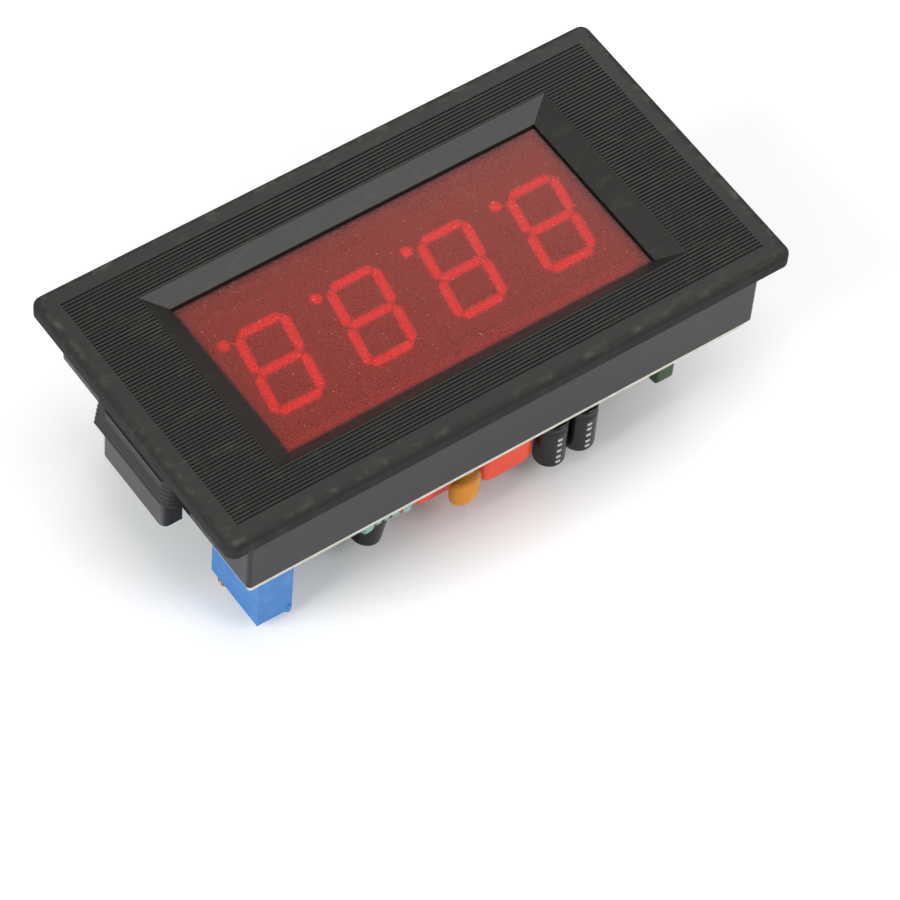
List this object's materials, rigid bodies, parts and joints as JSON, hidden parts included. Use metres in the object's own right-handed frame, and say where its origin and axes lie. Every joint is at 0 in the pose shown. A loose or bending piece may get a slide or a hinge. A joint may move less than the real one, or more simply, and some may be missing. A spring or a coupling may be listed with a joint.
{
  "type": "digital panel meter",
  "caption": "Rectangular digital panel meter with a red LED readout behind a tinted filter, a ribbed bezel, sliding retaining clips and an open circuit board at the rear.",
  "frame": {"origin": "centre of the panel cut-out at the bezel's seating face", "axes": "+Z out of the readout, +X along the long side, the readout's top towards -Y"},
  "size_m": [0.079, 0.042, 0.0252],
  "materials": {
    "case_plastic": "fine matte texture",
    "red_filter": "clear tinted",
    "digit_plastic": "matte, face printed dark grey",
    "lit_segment": "lit",
    "tinned_wire": "tinned",
    "board_laminate": "green solder mask, pale cut edge",
    "plated_steel": "zinc plated",
    "blue_plastic": "satin",
    "brass": "turned",
    "orange_coating": "dipped resin",
    "yellow_coating": "dipped resin",
    "green_coating": "dipped resin",
    "black_sleeve": "shrink sleeve",
    "resistor_coating": "lacquer with colour bands",
    "black_epoxy": "moulded",
    "white_nylon": "moulded",
    "clip_plastic": "satin"
  },
  "bodies": {
    "meter": {"bezel_case": "case_plastic", "filter_window": "red_filter", "digit_housing_1": "digit_plastic", "digit_segments_1": "lit_segment", "digit_pins_1": "tinned_wire", "digit_housing_2": "digit_plastic", "digit_segments_2": "lit_segment", "digit_pins_2": "tinned_wire", "digit_housing_3": "digit_plastic", "digit_segments_3": "lit_segment", "digit_pins_3": "tinned_wire", "digit_housing_4": "digit_plastic", "digit_segments_4": "lit_segment", "digit_pins_4": "tinned_wire", "main_board": "board_laminate", "board_screws": "plated_steel", "trimmer_body": "blue_plastic", "trimmer_pins": "tinned_wire", "film_capacitor_1": "orange_coating", "film_capacitor_2": "orange_coating", "yellow_capacitor": "yellow_coating", "green_capacitor": "green_coating", "electrolytic_1": "black_sleeve", "electrolytic_2": "black_sleeve", "electrolytic_3": "black_sleeve", "capacitor_leads": "tinned_wire", "resistor_1": "resistor_coating", "resistor_2": "resistor_coating", "resistor_3": "resistor_coating", "resistor_4": "resistor_coating", "resistor_5": "resistor_coating", "resistor_6": "resistor_coating", "resistor_leads": "tinned_wire", "supply_diode": "black_epoxy", "diode_leads": "tinned_wire", "regulator": "black_epoxy", "regulator_leads": "tinned_wire", "converter_chip": "black_epoxy", "converter_pins": "tinned_wire", "driver_chip": "black_epoxy", "driver_pins": "tinned_wire", "input_header": "white_nylon", "input_header_pins": "tinned_wire", "supply_header": "white_nylon", "supply_header_pins": "tinned_wire"},
    "adjuster": {"trimmer_screw": "brass"},
    "left_clip": {"left_clip": "clip_plastic"},
    "right_clip": {"right_clip": "clip_plastic"}
  },
  "joints": [
    {"name": "trimmer_turn", "type": "hinge", "parent": "meter", "child": "adjuster", "pos_m": [-0.03195, -0.00977, -0.0225], "axis": [0, 0, -1], "continuous": true},
    {"name": "left_clip_slide", "type": "slide", "parent": "meter", "child": "left_clip", "axis": [0, 0, 1], "range_m": [-0.0075, 0.002]},
    {"name": "right_clip_slide", "type": "slide", "parent": "meter", "child": "right_clip", "axis": [0, 0, 1], "range_m": [-0.0075, 0.002]}
  ]
}
